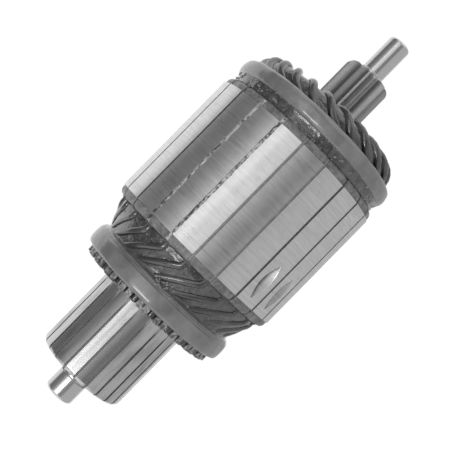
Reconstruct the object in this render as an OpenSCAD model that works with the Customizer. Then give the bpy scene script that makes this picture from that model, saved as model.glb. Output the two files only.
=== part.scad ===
// Armature of a small geared starter motor: laminated core, hairpin lap winding,
// moulded commutator and a steel shaft with its pinion cut from the solid.
// The shaft lies along +X, with the commutator at -X and the pinion at +X.
// The origin is on the shaft axis, in the middle of the laminated core.
// Angles about the shaft start at +Z and grow towards -Y.

/* [Core] */
// Outer diameter of the laminated core
core_d = 60; // [58:0.5:66]
// Length of the lamination stack
core_len = 42.4; // [30:0.1:80]
// Steel left between the slots and the outer diameter
lip = 2.2; // [1.3:0.05:2.5]
// Width of the slot's opening at the outer diameter
slot_opening = 0.75; // [0.5:0.05:1.6]
// Thickness of the insulating plate at each end of the stack
plate_t = 2.6; // [1:0.1:4]
// How far the plates stay below the core's outer diameter
plate_drop = 0.35; // [0.1:0.05:0.9]
// Rounding of the plates' outer edge
plate_round = 1.7; // [0.3:0.1:2]

/* [Winding] */
// Width of a conductor, along the core's circumference
wire_w = 2.3; // [1.8:0.1:2.4]
// Height of a conductor, along the core's radius
wire_h = 3.7; // [3:0.1:3.9]
// Radial gap between the two layers in a slot
layer_gap = 1.2; // [1.1:0.05:1.5]
// Thickness of the slot liners
liner_t = 0.25; // [0.15:0.05:0.4]
// Running clearance round a conductor in its slot
wire_fit = 0.05; // [0.02:0.01:0.1]
// Bend radius of the conductors, at mid width
bend_r = 2; // [1.6:0.1:2.4]
// Straight conductor left outside the plates before the first bend
slot_lead = 0.6; // [0.4:0.1:1.5]
// Place of the loops' tips, as a share of the way from one leg to the other
loop_share = 0.55; // [0.52:0.01:0.56]
// How far the loops reach beyond the drive-end plate
drive_reach = 14.2; // [13.8:0.1:16]
// Radius of the loops, at mid height of the conductor
loop_r = 3.3; // [3:0.1:3.4]
// Distance of the loops' centres from the shaft axis
loop_centre_r = 21.5; // [20.6:0.1:22]
// Lean of the conductors at the tip of the loops
loop_lean = 50; // [40:1:52]
// Thickness of the sleeves between the two layers outside the core
layer_sleeve_t = 0.22; // [0.15:0.01:0.25]

/* [Bands] */
// Width of the band beside the risers
rear_band_w = 7.1; // [5:0.1:8.6]
// Crown height of that band over the winding
rear_band_t = 2.3; // [1.4:0.05:3]
// Edge height of that band over the winding
rear_band_edge = 0.9; // [0.3:0.05:1.2]
// Gap from the drive-end plate to its band
drive_band_gap = 2.4; // [0.8:0.05:3]
// Width of the band over the drive-end winding
drive_band_w = 5.6; // [4:0.1:6.2]
// Crown height of that band over the winding
drive_band_t = 2.3; // [1:0.05:2.6]
// Edge height of that band over the winding
drive_band_edge = 0.5; // [0.3:0.05:1]

/* [Commutator] */
// Diameter of the brush track
brush_d = 29.9; // [27:0.1:30.4]
// Length of the brush track
brush_len = 28.4; // [18:0.1:40]
// How far the risers stand above the brush track
riser_rise = 9.1; // [9:0.05:9.8]
// Thickness of the risers along the shaft
riser_t = 2.2; // [1.5:0.1:3.5]
// Length of the winding between the rear plate and the risers
rear_reach = 16.7; // [16.4:0.1:24]
// Gap between neighbouring bars
bar_gap = 0.7; // [0.4:0.05:0.9]
// Depth of the undercut between the bars
undercut = 0.6; // [0.3:0.05:1]
// Radius of the saw that undercuts the bars
saw_r = 8; // [5:0.5:12]
// Rounding of the bars' front edge
bar_round = 1.5; // [0.5:0.1:2]
// Radial depth of a bar down to its foot
bar_depth = 5.65; // [4.5:0.05:6]
// Wall of the steel sleeve inside the moulding
sleeve_wall = 1.1; // [0.8:0.1:1.6]

/* [Shaft] */
// Diameter of the shaft in the core
shaft_d = 15; // [13:0.1:17]
// Diameter of the shaft in the commutator
seat_d = 11; // [10:0.1:12]
// Diameter of the journal at the commutator end
stub_d = 9.6; // [8:0.1:10]
// Length of the shaft beyond the commutator
stub_len = 9.7; // [6:0.1:14]
// Width of the relief groove behind that journal
groove_w = 1.5; // [0.8:0.1:2.5]
// Depth of the relief groove
groove_depth = 0.3; // [0.1:0.05:0.6]
// Diameter of the neck between core and pinion
neck_d = 13; // [11:0.1:13]
// Diameter of the pilot journal at the pinion end
pilot_d = 7.5; // [5:0.1:8]
// Length of the pilot journal
pilot_len = 12.6; // [8:0.1:20]
// Rounding of the pilot's and the journal's ends
tip_round = 1.1; // [0.4:0.1:1.6]

/* [Pinion] */
// Number of teeth on the pinion
tooth_count = 10; // [10:1:11]
// Module of the pinion
tooth_module = 1.25; // [1.15:0.05:1.3]
// Profile shift of the pinion, in modules
tooth_shift = 0.4; // [0.2:0.05:0.4]
// Pressure angle of the pinion
pressure_angle = 20; // [18:1:21]
// Length of the pinion's teeth
pinion_len = 18.6; // [12:0.1:25]
// Gap from the tip of the loops back to the start of the teeth
pinion_tuck = 2.6; // [0:0.1:4]
// Rounding of the teeth at their free end
pinion_round = 2; // [0.5:0.1:2.4]
// Hub left in front of the teeth
hub_len = 1; // [0.6:0.1:3]
// Height of that hub over the pilot journal
hub_rise = 0.35; // [0.1:0.05:0.5]
// Angle from the slot at the top to a tooth of the pinion
tooth_turn = 9; // [0:1:35]

/* [Balance cuts] */
// Radius of the cutter that takes balance cuts from the teeth
cutter_r = 10.7; // [8:0.1:16]
// Depth of the balance cuts
cut_depth = 2; // [0.5:0.1:2.2]
// Distance of the cuts from the rear end of the stack
cut_offset = 8.4; // [7:0.1:14]
// First tooth with a cut, counted from the slot at the top
cut_tooth = 2; // [1:1:6]
// Number of neighbouring teeth with a cut
cut_count = 2; // [1:1:3]

/* [Hidden] */

$fn = 96;
// One slot for each hairpin and commutator bar in the list above
slot_count = 22;
// Slots from one leg of a hairpin to the other, as the four poles of the motor ask
coil_span = 5;
// Slots that a top leg passes behind the core, to end in the middle of a bar
rear_turn = 2.5;
pitch = 360 / slot_count;
// A small overlap that lets cutters run past the faces they cut
past = 1;

// Radii in the slots, from the outer diameter inwards
core_r = core_d / 2;
slot_top_r = core_r - lip;
top_r = slot_top_r - liner_t - wire_fit - wire_h / 2;
bottom_r = top_r - wire_h - layer_gap;
slot_bottom_r = bottom_r - wire_h / 2 - wire_fit - liner_t;
slot_w = wire_w + 2 * (wire_fit + liner_t);

// Radii at the risers
brush_r = brush_d / 2;
riser_r = brush_r + riser_rise;
// Riser metal above the top conductor, and the joint between the two conductors
riser_cover = 0.25;
riser_joint = 0.9;
riser_top_r = riser_r - riser_cover - wire_h / 2;
riser_bottom_r = riser_top_r - wire_h - riser_joint;
riser_slot_r = riser_bottom_r - wire_h / 2 - wire_fit;

// Places along the shaft
rear_face = -core_len / 2 - plate_t;
drive_face = core_len / 2 + plate_t;
riser_back = rear_face - rear_reach;
riser_front = riser_back - riser_t;
comm_front = riser_front - brush_len;
stub_tip = comm_front - stub_len;
loop_tip = drive_face + drive_reach;
loop_z = loop_tip - loop_r - wire_h / 2;
teeth_start = loop_tip - pinion_tuck;
teeth_end = teeth_start + pinion_len;
hub_end = teeth_end + hub_len;
pilot_tip = hub_end + pilot_len;

// The legs lean towards the smaller angles on their way out of the core
lean = -1;
// Straight lead of a conductor into its riser
rear_straight = 2.4;
// Share of the rear reach over which the layers already lie at the risers' height
rear_level = 0.35;
descent_end = riser_back + rear_level * rear_reach;
// Shares of a layer's ramp that its bends take at either end
rear_blend = 0.22;
drive_blend = 0.3;
// Degrees about the shaft that a loop covers on either side of its tip
loop_top_turn = 14;
loop_bottom_turn = 13;
steps_bend = 4;
steps_run = 6;
steps_loop = 10;

// Colours of the finishes
steel = [0.62, 0.62, 0.62];
core_grey = [0.68, 0.68, 0.68];
copper_grey = [0.60, 0.60, 0.60];
varnish = [0.26, 0.26, 0.26];
resin = [0.48, 0.48, 0.48];
fibre = [0.34, 0.34, 0.34];
paper = [0.55, 0.55, 0.55];
moulding_grey = [0.20, 0.20, 0.20];

// Puts what is drawn along +Z, with angle 0 at +X, on the shaft axis
module along_shaft(z) {
    translate([z, 0, 0])
        rotate([0, 90, 0])
            rotate(180)
                children();
}

// Copies its children at every slot
module round_slots() {
    for (i = [0:slot_count - 1])
        rotate(i * pitch)
            children();
}

// Smooth step from 0 to 1 with a straight middle between two bends, and its slope
function ramp(u, blend) =
    u <= 0 ? 0 :
    u >= 1 ? 1 :
    u < blend ? u * u / (2 * blend * (1 - blend)) :
    u > 1 - blend ? 1 - (1 - u) * (1 - u) / (2 * blend * (1 - blend)) :
    (u - blend / 2) / (1 - blend);
function ramp_slope(u, blend) =
    u <= 0 || u >= 1 ? 0 :
    u < blend ? u / (blend * (1 - blend)) :
    u > 1 - blend ? (1 - u) / (blend * (1 - blend)) :
    1 / (1 - blend);

// A layer of the winding is a surface of revolution: [radius at the core, radius at its
// outer end, place where it leaves the core, place where it reaches that radius, blend]
rear_top = [top_r, riser_top_r, rear_face - slot_lead, descent_end, rear_blend];
rear_bottom = [bottom_r, riser_bottom_r, rear_face - slot_lead, descent_end, rear_blend];
drive_top = [top_r, loop_centre_r + loop_r, drive_face + slot_lead, loop_z, drive_blend];
drive_bottom = [bottom_r, loop_centre_r - loop_r, drive_face + slot_lead, loop_z, drive_blend];
function layer_u(layer, z) = (z - layer[2]) / (layer[3] - layer[2]);
function layer_r(layer, z) =
    layer[0] + (layer[1] - layer[0]) * ramp(layer_u(layer, z), layer[4]);
function layer_slope(layer, z) =
    (layer[1] - layer[0]) / (layer[3] - layer[2]) * ramp_slope(layer_u(layer, z), layer[4]);

// Path of a leg on its unrolled layer: a bend, a straight run and, for two bends, a
// bend back, covering a length and a width with the given bend radius
function run_angle(length, width, bends) =
    atan2(width - bends * bend_r, length)
    + asin(bends * bend_r / norm([length, width - bends * bend_r]));
function arc_point(a) = [bend_r * sin(a), bend_r * (1 - cos(a))];
function leg_points(length, width, bends) =
    let (
        a = run_angle(length, width, bends),
        first = arc_point(a),
        last = bends == 2 ? [length, width] - first : [length, width]
    )
    concat(
        [for (i = [0:steps_bend]) arc_point(a * i / steps_bend)],
        [for (i = [1:steps_run - 1]) first + (last - first) * i / steps_run],
        [for (i = [0:bends == 2 ? steps_bend : 0])
            bends == 2 ? [length, width] - arc_point(a * (1 - i / steps_bend)) : last]
    );

// A station of a conductor: [radius, place, angle, radial and axial part of its height]
function surface_station(layer, z, angle, side) =
    let (n = [1, -layer_slope(layer, z)] / norm([1, layer_slope(layer, z)]))
    [layer_r(layer, z), z, angle, side * n[0], side * n[1]];
function leg_stations(layer, way, length, turn, angle, bends, side) =
    let (
        mean_r = (layer[0] + layer[1]) / 2,
        width = abs(turn) * PI / 180 * mean_r
    )
    [for (p = leg_points(length, width, bends))
        surface_station(layer, layer[2] + way * p[0], angle + sign(turn) * p[1] / mean_r * 180 / PI, side)];
function backwards(list) = [for (i = [len(list) - 1:-1:0]) list[i]];

// Angle along one half of a loop, from its known ends and the slopes there
function hermite(u, a, b, slope_a, slope_b) =
    a * (1 + 2 * u) * (1 - u) * (1 - u)
    + b * u * u * (3 - 2 * u)
    + slope_a * u * (1 - u) * (1 - u)
    + slope_b * u * u * (u - 1);
function loop_slope(slant, r) = 90 * tan(slant) * loop_r / r;

// Angles of one hairpin, whose top leg lies in the slot at 0
top_end_angle = lean * rear_turn * pitch;
bottom_angle = lean * coil_span * pitch;
bottom_end_angle = lean * (rear_turn + 1) * pitch;
loop_angle = loop_share * bottom_angle;
loop_start_angle = loop_angle - lean * loop_top_turn;
loop_stop_angle = loop_angle + lean * loop_bottom_turn;

rear_run = rear_reach - slot_lead - rear_straight;
drive_run = loop_z - drive_face - slot_lead;
function mean_width(layer, turn) = abs(turn) * PI / 180 * (layer[0] + layer[1]) / 2;
top_slant = run_angle(drive_run, mean_width(drive_top, loop_start_angle), 1);
bottom_slant = run_angle(drive_run, mean_width(drive_bottom, bottom_angle - loop_stop_angle), 1);

function loop_station(i) =
    let (
        a = 180 * i / steps_loop,
        u = a / 90,
        tip_slope = loop_slope(loop_lean, loop_centre_r),
        angle = u <= 1
            ? hermite(u, loop_start_angle, loop_angle,
                lean * loop_slope(top_slant, drive_top[1]), lean * tip_slope)
            : hermite(u - 1, loop_angle, loop_stop_angle,
                lean * tip_slope, lean * loop_slope(bottom_slant, drive_bottom[1]))
    )
    [loop_centre_r + loop_r * cos(a), loop_z + loop_r * sin(a), angle, cos(a), sin(a)];

// One whole hairpin: riser, top leg, loop, bottom leg and riser again
hairpin_path = concat(
    [[riser_top_r, riser_front, top_end_angle, 1, 0]],
    backwards(leg_stations(rear_top, -1, rear_run, top_end_angle, 0, 2, 1)),
    leg_stations(drive_top, 1, drive_run, loop_start_angle, 0, 1, 1),
    [for (i = [1:steps_loop - 1]) loop_station(i)],
    backwards(leg_stations(drive_bottom, 1, drive_run, loop_stop_angle - bottom_angle, bottom_angle, 1, -1)),
    leg_stations(rear_bottom, -1, rear_run, bottom_end_angle - bottom_angle, bottom_angle, 2, -1),
    [[riser_bottom_r, riser_front, bottom_end_angle, -1, 0]]
);

function unit(v) = v / norm(v);
function place(s) = [s[0] * cos(s[2]), s[0] * sin(s[2]), s[1]];
function height(s) = [s[3] * cos(s[2]), s[3] * sin(s[2]), s[4]];
function ring(path, i) =
    let (
        last = len(path) - 1,
        along = unit(place(path[min(i + 1, last)]) - place(path[max(i - 1, 0)])),
        up = height(path[i]),
        tall = unit(up - (up * along) * along) * wire_h / 2,
        wide = unit(cross(along, up)) * wire_w / 2,
        middle = place(path[i])
    )
    [middle + wide + tall, middle - wide + tall, middle - wide - tall, middle + wide - tall];

hairpin_points = [for (i = [0:len(hairpin_path) - 1]) each ring(hairpin_path, i)];
hairpin_faces = concat(
    [[2, 1, 0], [3, 2, 0]],
    [for (i = [0:len(hairpin_path) - 2], j = [0:3])
        each let (a = 4 * i + j, b = 4 * i + (j + 1) % 4)
            [[a, b, b + 4], [a, b + 4, a + 4]]],
    let (e = 4 * (len(hairpin_path) - 1)) [[e, e + 1, e + 2], [e, e + 2, e + 3]]
);

module hairpin(k) {
    color(varnish)
        along_shaft(0)
            rotate((k - 1) * pitch)
                polyhedron(points = hairpin_points, faces = hairpin_faces);
}

// Section of a slot, from its closed end out through the opening
module slot_section() {
    mouth_r = slot_top_r + lip / 2;
    polygon([
        [slot_bottom_r, -slot_w / 2],
        [slot_top_r, -slot_w / 2],
        [mouth_r, -slot_opening / 2],
        [core_r + past, -slot_opening / 2],
        [core_r + past, slot_opening / 2],
        [mouth_r, slot_opening / 2],
        [slot_top_r, slot_w / 2],
        [slot_bottom_r, slot_w / 2]
    ]);
}

module lamination(r) {
    difference() {
        circle(r = r);
        circle(d = shaft_d);
        round_slots()
            slot_section();
    }
}

// Disc with a V edge that notches a tooth, lying across the shaft
module balance_cutter() {
    rotate([90, 0, 0])
        rotate_extrude()
            polygon([
                [0, -cutter_r],
                [cutter_r, 0],
                [0, cutter_r]
            ]);
}

module core_stack() {
    color(core_grey)
        along_shaft(-core_len / 2)
            difference() {
                linear_extrude(core_len)
                    lamination(core_r);
                for (i = [0:cut_count - 1])
                    rotate((cut_tooth + i + 0.5) * pitch)
                        translate([core_r - cut_depth + cutter_r, 0, cut_offset])
                            balance_cutter();
            }
}

// Insulating plate with its free face at the top and a rounded outer edge
module end_plate() {
    r = core_r - plate_drop;
    color(fibre)
        intersection() {
            linear_extrude(plate_t)
                lamination(r);
            rotate_extrude()
                union() {
                    square([r - plate_round, plate_t]);
                    square([r, plate_t - plate_round]);
                    translate([r - plate_round, plate_t - plate_round])
                        circle(r = plate_round);
                }
        }
}

module rear_plate() {
    along_shaft(-core_len / 2)
        mirror([0, 0, 1])
            end_plate();
}

module drive_plate() {
    along_shaft(core_len / 2)
        end_plate();
}

// Liners stand a little proud of the plates and stop before the bends
liner_share = 0.75;
liner_proud = liner_share * slot_lead;
insulation_len = core_len + 2 * (plate_t + liner_proud);

module slot_liners() {
    color(paper)
        along_shaft(-insulation_len / 2)
            linear_extrude(insulation_len)
                round_slots()
                    difference() {
                        translate([slot_bottom_r, -slot_w / 2])
                            square([slot_top_r - slot_bottom_r, slot_w]);
                        translate([slot_bottom_r + liner_t, liner_t - slot_w / 2])
                            square([slot_top_r - slot_bottom_r - 2 * liner_t, slot_w - 2 * liner_t]);
                    }
}

module slot_separators() {
    strip_t = layer_gap - 2 * wire_fit;
    color(paper)
        along_shaft(-insulation_len / 2)
            linear_extrude(insulation_len)
                round_slots()
                    translate([bottom_r + wire_h / 2 + wire_fit, -wire_w / 2])
                        square([strip_t, wire_w]);
}

// Distance of the sleeves' free ends from the risers and the loops
sleeve_gap = 0.5;

// Sleeve halfway between two layers, from one place to another
module layer_sleeve(upper, lower, from, to) {
    steps = 10;
    places = [for (i = [0:steps]) from + (to - from) * i / steps];
    function middle_r(z) = (layer_r(upper, z) + layer_r(lower, z)) / 2;
    color(paper)
        along_shaft(0)
            rotate_extrude()
                polygon(concat(
                    [for (z = places) [middle_r(z) + layer_sleeve_t / 2, z]],
                    [for (z = backwards(places)) [middle_r(z) - layer_sleeve_t / 2, z]]
                ));
}

module rear_layer_sleeve() {
    layer_sleeve(rear_top, rear_bottom, rear_face - slot_lead, riser_back + sleeve_gap);
}

module drive_layer_sleeve() {
    layer_sleeve(drive_top, drive_bottom, drive_face + slot_lead, loop_z - sleeve_gap);
}

// A point over a layer of the winding, at a height above the conductors' corners
band_fit = 0.2;
crown_power = 2.4;
function cover_point(layer, z, height) =
    let (
        n = [1, -layer_slope(layer, z)] / norm([1, layer_slope(layer, z)]),
        lift = wire_h / 2 + band_fit + height
    )
    [layer_r(layer, z) + n[0] * lift, z + n[1] * lift];

// Band on a layer: a crowned ring whose underside follows the winding. A skew below 1
// brings the crown nearer to where the band starts
module band(layer, from, to, crown, edge, skew) {
    steps = 16;
    function height(share) =
        let (u = 2 * pow(share, skew) - 1)
        edge + (crown - edge) * sqrt(1 - pow(abs(u), crown_power));
    shares = [for (i = [0:steps]) i / steps];
    color(resin)
        along_shaft(0)
            rotate_extrude()
                polygon(concat(
                    [for (s = shares) cover_point(layer, from + (to - from) * s, height(s))],
                    [for (s = backwards(shares)) cover_point(layer, from + (to - from) * s, 0)]
                ));
}

module rear_band() {
    band(rear_top, riser_back, riser_back + rear_band_w, rear_band_t, rear_band_edge, 0.75);
}

module drive_band() {
    start = drive_face + drive_band_gap;
    band(drive_top, start, start + drive_band_w, drive_band_t, drive_band_edge, 1);
}

// Underside of a bar, front to back: a dovetail foot held by the moulding
foot_r = brush_r - bar_depth;
dovetail_share = 0.32;
hook_share = 0.57;
dovetail_r = foot_r + dovetail_share * bar_depth;
hook_r = foot_r + hook_share * bar_depth;
foot_inset = 2.2;
dovetail_inset = 4;
bar_underside = [
    [hook_r, comm_front],
    [dovetail_r, comm_front + dovetail_inset],
    [foot_r, comm_front + foot_inset],
    [foot_r, riser_back - foot_inset],
    [dovetail_r, riser_back - dovetail_inset],
    [hook_r, riser_back]
];

// Whole section of a bar with its riser, or of the fin that fills a gap
module bar_section(underside, tip_r) {
    difference() {
        polygon(concat(
            underside,
            [
                [tip_r, riser_back],
                [tip_r, riser_front],
                [brush_r, riser_front],
                [brush_r, comm_front]
            ]
        ));
        difference() {
            translate([brush_r - bar_round, comm_front - past])
                square([bar_round + past, bar_round + past]);
            translate([brush_r - bar_round, comm_front + bar_round])
                circle(r = bar_round);
        }
    }
}

module commutator_bar(k) {
    wedge_tip = bar_gap / 2 / sin(pitch / 2);
    wedge_end = riser_r + past;
    wedge_half = (wedge_end - wedge_tip) * tan(pitch / 2);
    color(copper_grey)
        along_shaft(0)
            rotate((k - 0.5) * pitch)
                difference() {
                    intersection() {
                        rotate_extrude()
                            bar_section(bar_underside, riser_r);
                        translate([0, 0, comm_front - past])
                            linear_extrude(riser_back - comm_front + 2 * past)
                                polygon([
                                    [wedge_tip, 0],
                                    [wedge_end, wedge_half],
                                    [wedge_end, -wedge_half]
                                ]);
                    }
                    translate([riser_slot_r, -wire_w / 2 - wire_fit, riser_front - past])
                        cube([riser_r, wire_w + 2 * wire_fit, riser_t + 2 * past]);
                }
}

// Distance from the risers at which the saw leaves the brush track
undercut_stop = 2.1;

// Space that the saw clears above the moulding between two bars
module undercut_section() {
    saw_end = riser_front - undercut_stop - sqrt(2 * saw_r * undercut - undercut * undercut);
    translate([brush_r - undercut, comm_front - past])
        square([undercut + past, saw_end - comm_front + past]);
    translate([brush_r - undercut + saw_r, saw_end])
        circle(r = saw_r);
}

// Collar of the moulding behind the risers: its length, and its step below the track
rear_collar = 1.2;
collar_drop = 0.6;

module commutator_moulding() {
    sleeve_r = seat_d / 2 + sleeve_wall;
    collar_r = brush_r - collar_drop;
    fin_r = (sleeve_r + foot_r) / 2;
    fin_underside = [[fin_r, comm_front], [fin_r, riser_back]];
    color(moulding_grey)
        along_shaft(0) {
            rotate_extrude()
                polygon(concat(
                    [[sleeve_r, comm_front]],
                    bar_underside,
                    [
                        [collar_r, riser_back],
                        [collar_r, riser_back + rear_collar],
                        [sleeve_r, riser_back + rear_collar]
                    ]
                ));
            round_slots()
                rotate([90, 0, 0])
                    linear_extrude(bar_gap, center = true)
                        difference() {
                            bar_section(fin_underside, riser_r - undercut);
                            undercut_section();
                        }
        }
}

module commutator_sleeve() {
    color(steel)
        along_shaft(comm_front)
            difference() {
                cylinder(d = seat_d + 2 * sleeve_wall, h = riser_back + rear_collar - comm_front);
                translate([0, 0, -past])
                    cylinder(d = seat_d, h = riser_back + rear_collar - comm_front + 2 * past);
            }
}

// Pinion, with involute flanks found from the module and the profile shift
addendum = 1;
dedendum = 1.25;
pitch_r = tooth_module * tooth_count / 2;
base_r = pitch_r * cos(pressure_angle);
tip_r = pitch_r + tooth_module * (addendum + tooth_shift);
root_r = pitch_r - tooth_module * (dedendum - tooth_shift);
function involute(a) = tan(a) * 180 / PI - a;
function pressure_at(r) = acos(min(1, base_r / r));
// Half the angle that a tooth fills at a radius
half_tooth = 90 / tooth_count + 2 * tooth_shift * tan(pressure_angle) / tooth_count * 180 / PI;
function flank_angle(r) =
    half_tooth + involute(pressure_angle) - involute(pressure_at(max(r, base_r)));
flank_steps = 5;
// The fillet widens the tooth at its root and meets the flank above the base circle
root_flare = 2.5;
flank_r = base_r + 0.2;
// The flanks run a little past the turned blank, which gives the teeth their tips
flank_end_r = tip_r + 0.15;
flank = concat(
    [[root_r, flank_angle(base_r) + root_flare]],
    [for (i = [0:flank_steps])
        let (r = flank_r + (flank_end_r - flank_r) * i / flank_steps)
        [r, flank_angle(r)]]
);
tooth_outline = concat(
    [for (p = flank) [p[0] * cos(p[1]), -p[0] * sin(p[1])]],
    [for (p = backwards(flank)) [p[0] * cos(p[1]), p[0] * sin(p[1])]],
    [[0, 0]]
);

module pinion_teeth() {
    intersection() {
        translate([0, 0, teeth_start])
            linear_extrude(pinion_len)
                for (i = [0:tooth_count - 1])
                    rotate(tooth_turn + i * 360 / tooth_count)
                        polygon(tooth_outline);
        rotate_extrude()
            union() {
                translate([0, teeth_start])
                    square([tip_r, pinion_len - pinion_round]);
                translate([0, teeth_start])
                    square([tip_r - pinion_round, pinion_len]);
                translate([tip_r - pinion_round, teeth_end - pinion_round])
                    circle(r = pinion_round);
            }
    }
}

// Steps, chamfers and run-outs along the shaft
seat_reach = 0.9;
shoulder_gap = 0.5;
shoulder_cone = 2;
neck_chamfer = 0.8;
edge_chamfer = 0.4;
cutter_runout = 1.5;

// Half section of a shaft's end, with its flat face at the bottom and a rounded edge
module rounded_end(r) {
    square([r - tip_round, tip_round]);
    intersection() {
        translate([r - tip_round, tip_round])
            circle(r = tip_round);
        square([r, tip_round]);
    }
}

// Turned body of the shaft, from the commutator end to the pilot
module shaft_body() {
    seat_start = comm_front - seat_reach;
    seat_end = riser_back + rear_collar + shoulder_gap;
    neck_start = drive_face + shoulder_gap;
    groove_start = seat_start - groove_w;
    groove_r = stub_d / 2 - groove_depth;
    rotate_extrude() {
        translate([0, stub_tip])
            rounded_end(stub_d / 2);
        polygon([
            [0, stub_tip + tip_round],
            [stub_d / 2, stub_tip + tip_round],
            [stub_d / 2, groove_start - groove_depth],
            [groove_r, groove_start],
            [groove_r, seat_start],
            [seat_d / 2 - edge_chamfer, seat_start],
            [seat_d / 2, seat_start + edge_chamfer],
            [seat_d / 2, seat_end],
            [shaft_d / 2, seat_end + shoulder_cone],
            [shaft_d / 2, neck_start],
            [neck_d / 2, neck_start + neck_chamfer],
            [neck_d / 2, teeth_start],
            [root_r, teeth_start + cutter_runout],
            [root_r, teeth_end - edge_chamfer],
            [root_r - edge_chamfer, teeth_end],
            [pilot_d / 2 + hub_rise, teeth_end],
            [pilot_d / 2 + hub_rise, hub_end - hub_rise],
            [pilot_d / 2, hub_end],
            [pilot_d / 2, pilot_tip - tip_round],
            [0, pilot_tip - tip_round]
        ]);
        translate([0, pilot_tip])
            mirror([0, 1])
                rounded_end(pilot_d / 2);
    }
}

module shaft() {
    color(steel)
        along_shaft(0) {
            shaft_body();
            pinion_teeth();
        }
}

shaft();
core_stack();
rear_plate();
drive_plate();
slot_liners();
slot_separators();
rear_layer_sleeve();
drive_layer_sleeve();
rear_band();
drive_band();
commutator_sleeve();
commutator_moulding();
commutator_bar(1);  // commutator_bar_01
commutator_bar(2);  // commutator_bar_02
commutator_bar(3);  // commutator_bar_03
commutator_bar(4);  // commutator_bar_04
commutator_bar(5);  // commutator_bar_05
commutator_bar(6);  // commutator_bar_06
commutator_bar(7);  // commutator_bar_07
commutator_bar(8);  // commutator_bar_08
commutator_bar(9);  // commutator_bar_09
commutator_bar(10);  // commutator_bar_10
commutator_bar(11);  // commutator_bar_11
commutator_bar(12);  // commutator_bar_12
commutator_bar(13);  // commutator_bar_13
commutator_bar(14);  // commutator_bar_14
commutator_bar(15);  // commutator_bar_15
commutator_bar(16);  // commutator_bar_16
commutator_bar(17);  // commutator_bar_17
commutator_bar(18);  // commutator_bar_18
commutator_bar(19);  // commutator_bar_19
commutator_bar(20);  // commutator_bar_20
commutator_bar(21);  // commutator_bar_21
commutator_bar(22);  // commutator_bar_22
hairpin(1);  // hairpin_01
hairpin(2);  // hairpin_02
hairpin(3);  // hairpin_03
hairpin(4);  // hairpin_04
hairpin(5);  // hairpin_05
hairpin(6);  // hairpin_06
hairpin(7);  // hairpin_07
hairpin(8);  // hairpin_08
hairpin(9);  // hairpin_09
hairpin(10);  // hairpin_10
hairpin(11);  // hairpin_11
hairpin(12);  // hairpin_12
hairpin(13);  // hairpin_13
hairpin(14);  // hairpin_14
hairpin(15);  // hairpin_15
hairpin(16);  // hairpin_16
hairpin(17);  // hairpin_17
hairpin(18);  // hairpin_18
hairpin(19);  // hairpin_19
hairpin(20);  // hairpin_20
hairpin(21);  // hairpin_21
hairpin(22);  // hairpin_22
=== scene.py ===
# %% [markdown]
# # Dressing a motor armature
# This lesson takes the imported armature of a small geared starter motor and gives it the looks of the
# real one: bright turned steel, worn copper, dark varnish and resin bands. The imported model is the
# fixed frame, so every piece here is placed by it, and nothing is moved or resized.

# %% Load the frame
import math

import bmesh
import bpy
from mathutils import Matrix, Vector
from mathutils.bvhtree import BVHTree


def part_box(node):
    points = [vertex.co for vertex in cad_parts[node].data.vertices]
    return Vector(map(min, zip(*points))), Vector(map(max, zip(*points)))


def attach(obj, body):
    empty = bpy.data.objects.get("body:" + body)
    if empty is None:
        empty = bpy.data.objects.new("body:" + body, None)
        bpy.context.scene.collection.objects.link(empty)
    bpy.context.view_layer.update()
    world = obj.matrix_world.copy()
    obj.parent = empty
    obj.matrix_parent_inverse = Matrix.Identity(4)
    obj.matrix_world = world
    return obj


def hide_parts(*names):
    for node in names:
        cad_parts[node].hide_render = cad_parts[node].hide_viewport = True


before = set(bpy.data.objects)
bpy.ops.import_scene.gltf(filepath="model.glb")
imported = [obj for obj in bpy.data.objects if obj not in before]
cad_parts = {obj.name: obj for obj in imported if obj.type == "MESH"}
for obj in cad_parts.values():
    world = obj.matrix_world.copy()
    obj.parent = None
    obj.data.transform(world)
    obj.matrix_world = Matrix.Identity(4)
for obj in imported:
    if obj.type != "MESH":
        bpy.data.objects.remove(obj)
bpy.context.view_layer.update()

scene = bpy.context.scene
MM = 0.001
hairpins = [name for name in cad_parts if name.startswith("hairpin")]
print("loaded", len(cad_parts), "nodes, of which", len(hairpins), "are hairpins")

# %% [markdown]
# ## Measures
# The shaft lies along X, with the commutator at the low end and the pinion at the high end. Places
# along it and radii could be typed in, but then they would drift from the model when it changes. So
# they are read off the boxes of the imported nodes, in millimetres.

# %% Measures
def low_x(node):
    """Where along the shaft a node starts."""
    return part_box(node)[0].x / MM


def high_x(node):
    """Where along the shaft a node ends."""
    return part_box(node)[1].x / MM


def outer_r(node):
    """Outer radius of a node that goes all the way round the shaft."""
    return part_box(node)[1].z / MM


core_r = outer_r("core_stack")
core_end = high_x("core_stack")
rear_face = low_x("rear_plate")
drive_face = high_x("drive_plate")
rear_band_end = high_x("rear_band")
rear_band_r = outer_r("rear_band")
drive_band_start = low_x("drive_band")
loop_tip = high_x("hairpin_01")
slot_pitch = 360 / len(hairpins)
print("core radius", round(core_r, 2), "mm")
print("plates from", round(rear_face, 2), "to", round(drive_face, 2), "mm along the shaft")

# %% [markdown]
# ## Camera
# The photograph looks down on the armature, which lies on a white sheet with its shaft along the
# picture's diagonal. The lens stands above the rear half of the core, not quite a third of a metre
# away, so that the ends of the core bow outwards. It is tipped a little to bring the whole shaft into
# view. A lens further off would be easier to place, but it would show the core's ends as straight lines.

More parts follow.
